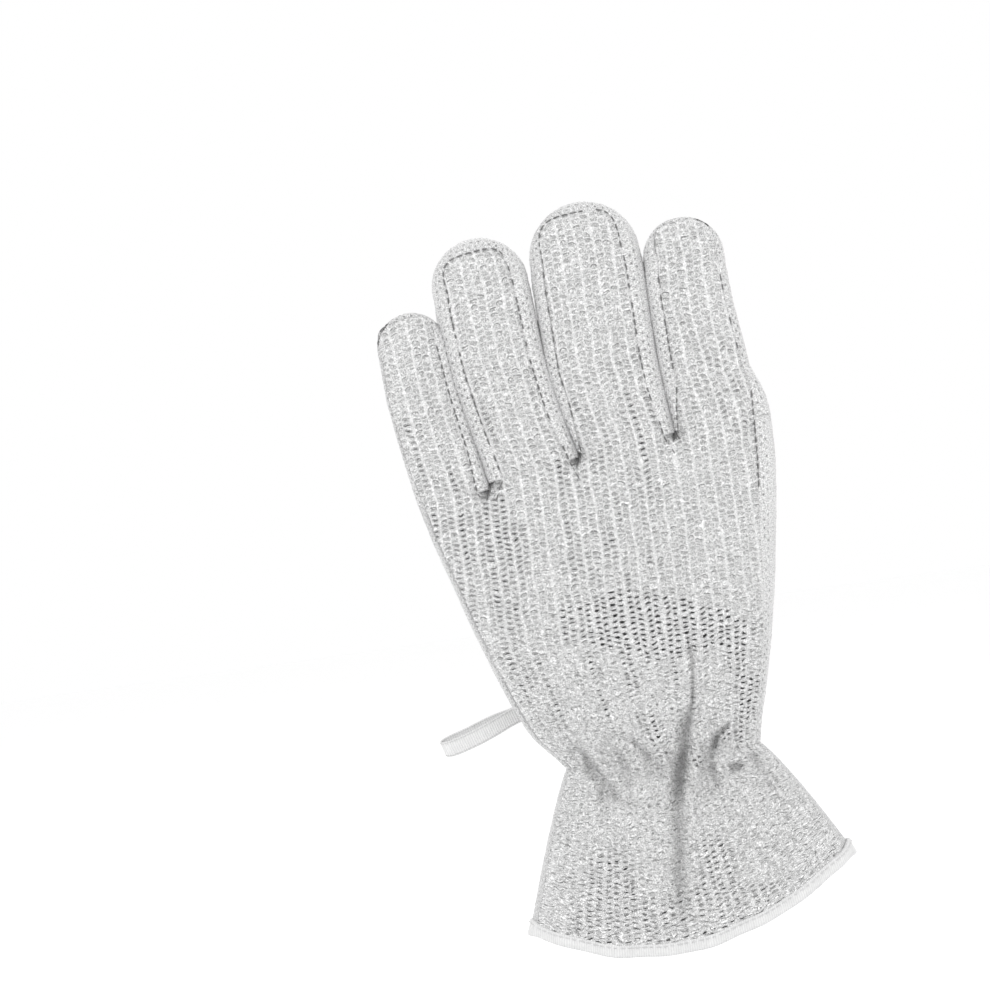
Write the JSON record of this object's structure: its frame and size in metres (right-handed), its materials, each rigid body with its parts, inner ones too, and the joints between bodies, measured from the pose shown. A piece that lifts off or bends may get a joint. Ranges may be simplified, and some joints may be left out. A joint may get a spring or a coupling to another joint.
{
  "type": "chain mail glove",
  "caption": "Left-hand knitted glove of metallic yarn, with jointed fingers, folded thumb, elastic wrist, flared cuff with a bound hem, and a ribbon hanging loop.",
  "frame": {"origin": "middle of the wrist, where the elastic gathers the glove and an arm holds it", "axes": "+Z along the fingers, -Y out of the back of the hand, +Y out of the palm, +X towards the thumb"},
  "size_m": [0.1413, 0.0468, 0.2612],
  "materials": {
    "knit_back": "silver metallic yarn, open ribbed knit with small slots",
    "knit_palm": "silver metallic yarn, plain side with slanting stitches",
    "knit_strip": "silver metallic yarn, fine ribbed knit",
    "hem_tape": "woven white tape, satin",
    "ribbon": "woven white ribbon with fine cross ribs",
    "elastic": "woven white elastic, matt",
    "thread": "sewing thread, matt"
  },
  "bodies": {
    "hand": {"hand_back": "knit_back", "hand_palm": "knit_palm", "hand_strip_inner": "knit_strip", "hand_strip_outer": "knit_strip", "loop_tack": "thread", "wrist_elastic": "elastic"},
    "little_finger_base": {"little_finger_base_back": "knit_back", "little_finger_base_palm": "knit_palm", "little_finger_base_strip_inner": "knit_strip", "little_finger_base_strip_outer": "knit_strip"},
    "little_finger_mid": {"little_finger_mid_back": "knit_back", "little_finger_mid_palm": "knit_palm", "little_finger_mid_strip_inner": "knit_strip", "little_finger_mid_strip_outer": "knit_strip"},
    "little_finger_tip": {"little_finger_tip_back": "knit_back", "little_finger_tip_palm": "knit_palm", "little_finger_tip_strip": "knit_strip"},
    "ring_finger_base": {"ring_finger_base_back": "knit_back", "ring_finger_base_palm": "knit_palm", "ring_finger_base_strip_inner": "knit_strip", "ring_finger_base_strip_outer": "knit_strip"},
    "ring_finger_mid": {"ring_finger_mid_back": "knit_back", "ring_finger_mid_palm": "knit_palm", "ring_finger_mid_strip_inner": "knit_strip", "ring_finger_mid_strip_outer": "knit_strip"},
    "ring_finger_tip": {"ring_finger_tip_back": "knit_back", "ring_finger_tip_palm": "knit_palm", "ring_finger_tip_strip": "knit_strip"},
    "middle_finger_base": {"middle_finger_base_back": "knit_back", "middle_finger_base_palm": "knit_palm", "middle_finger_base_strip_inner": "knit_strip", "middle_finger_base_strip_outer": "knit_strip"},
    "middle_finger_mid": {"middle_finger_mid_back": "knit_back", "middle_finger_mid_palm": "knit_palm", "middle_finger_mid_strip_inner": "knit_strip", "middle_finger_mid_strip_outer": "knit_strip"},
    "middle_finger_tip": {"middle_finger_tip_back": "knit_back", "middle_finger_tip_palm": "knit_palm", "middle_finger_tip_strip": "knit_strip"},
    "index_finger_base": {"index_finger_base_back": "knit_back", "index_finger_base_palm": "knit_palm", "index_finger_base_strip_inner": "knit_strip", "index_finger_base_strip_outer": "knit_strip"},
    "index_finger_mid": {"index_finger_mid_back": "knit_back", "index_finger_mid_palm": "knit_palm", "index_finger_mid_strip_inner": "knit_strip", "index_finger_mid_strip_outer": "knit_strip"},
    "index_finger_tip": {"index_finger_tip_back": "knit_back", "index_finger_tip_palm": "knit_palm", "index_finger_tip_strip": "knit_strip"},
    "thumb_base": {"thumb_base_inner": "knit_palm", "thumb_base_outer": "knit_back", "thumb_base_strip": "knit_strip"},
    "thumb_tip": {"thumb_tip_inner": "knit_palm", "thumb_tip_outer": "knit_back", "thumb_tip_strip": "knit_strip"},
    "cuff": {"cuff_back": "knit_back", "cuff_palm": "knit_palm", "hem_tape": "hem_tape"},
    "loop": {"hanging_loop": "ribbon"}
  },
  "joints": [
    {"name": "little_finger_knuckle", "type": "hinge", "parent": "hand", "child": "little_finger_base", "pos_m": [-0.062, 0.0076, 0.099], "axis": [-0.9957, 0, -0.0924], "range_deg": [0, 80]},
    {"name": "little_finger_middle_joint", "type": "hinge", "parent": "little_finger_base", "child": "little_finger_mid", "pos_m": [-0.06468, 0.00707, 0.12738], "axis": [-0.9957, 0, -0.0924], "range_deg": [0, 90]},
    {"name": "little_finger_end_joint", "type": "hinge", "parent": "little_finger_mid", "child": "little_finger_tip", "pos_m": [-0.06649, 0.00671, 0.14652], "axis": [-0.9957, 0, -0.0924], "range_deg": [0, 45]},
    {"name": "ring_finger_knuckle", "type": "hinge", "parent": "hand", "child": "ring_finger_base", "pos_m": [-0.031, 0.0084, 0.105], "axis": [-0.9935, 0, -0.1141], "range_deg": [0, 80]},
    {"name": "ring_finger_middle_joint", "type": "hinge", "parent": "ring_finger_base", "child": "ring_finger_mid", "pos_m": [-0.03592, 0.00787, 0.14044], "axis": [-0.9935, 0, -0.1141], "range_deg": [0, 90]},
    {"name": "ring_finger_end_joint", "type": "hinge", "parent": "ring_finger_mid", "child": "ring_finger_tip", "pos_m": [-0.03923, 0.00751, 0.16434], "axis": [-0.9935, 0, -0.1141], "range_deg": [0, 45]},
    {"name": "middle_finger_knuckle", "type": "hinge", "parent": "hand", "child": "middle_finger_base", "pos_m": [0.0024, 0.0088, 0.11], "axis": [-0.9971, 0, -0.0758], "range_deg": [0, 80]},
    {"name": "middle_finger_middle_joint", "type": "hinge", "parent": "middle_finger_base", "child": "middle_finger_mid", "pos_m": [0.00016, 0.00826, 0.14661], "axis": [-0.9971, 0, -0.0758], "range_deg": [0, 90]},
    {"name": "middle_finger_end_joint", "type": "hinge", "parent": "middle_finger_mid", "child": "middle_finger_tip", "pos_m": [-0.00135, 0.00789, 0.1713], "axis": [-0.9971, 0, -0.0758], "range_deg": [0, 45]},
    {"name": "index_finger_knuckle", "type": "hinge", "parent": "hand", "child": "index_finger_base", "pos_m": [0.0356, 0.0086, 0.1124], "axis": [-0.9977, 0, -0.068], "range_deg": [0, 80]},
    {"name": "index_finger_middle_joint", "type": "hinge", "parent": "index_finger_base", "child": "index_finger_mid", "pos_m": [0.03416, 0.00796, 0.1441], "axis": [-0.9977, 0, -0.068], "range_deg": [0, 90]},
    {"name": "index_finger_end_joint", "type": "hinge", "parent": "index_finger_mid", "child": "index_finger_tip", "pos_m": [0.03319, 0.00754, 0.16548], "axis": [-0.9977, 0, -0.068], "range_deg": [0, 45]},
    {"name": "thumb_spread", "type": "hinge", "parent": "hand", "child": "thumb_base", "pos_m": [0.0275, 0.0206, 0.033], "axis": [0, 1, 0], "range_deg": [0, 50]},
    {"name": "thumb_bend", "type": "hinge", "parent": "thumb_base", "child": "thumb_tip", "pos_m": [0.03358, 0.02676, 0.06747], "axis": [-0.9848, 0, 0.1736], "range_deg": [0, 70]},
    {"name": "cuff_bend", "type": "hinge", "parent": "hand", "child": "cuff", "pos_m": [0, 0.01, 0], "axis": [1, 0, 0], "range_deg": [0, 35]},
    {"name": "loop_swing", "type": "hinge", "parent": "hand", "child": "loop", "pos_m": [-0.045, 0.0132, 0.021], "axis": [0, 1, 0], "range_deg": [-50, 60]}
  ],
  "couplings": [
    {"joint": "little_finger_end_joint", "follows": "little_finger_middle_joint", "ratio": 0.5},
    {"joint": "ring_finger_end_joint", "follows": "ring_finger_middle_joint", "ratio": 0.5},
    {"joint": "middle_finger_end_joint", "follows": "middle_finger_middle_joint", "ratio": 0.5},
    {"joint": "index_finger_end_joint", "follows": "index_finger_middle_joint", "ratio": 0.5}
  ]
}
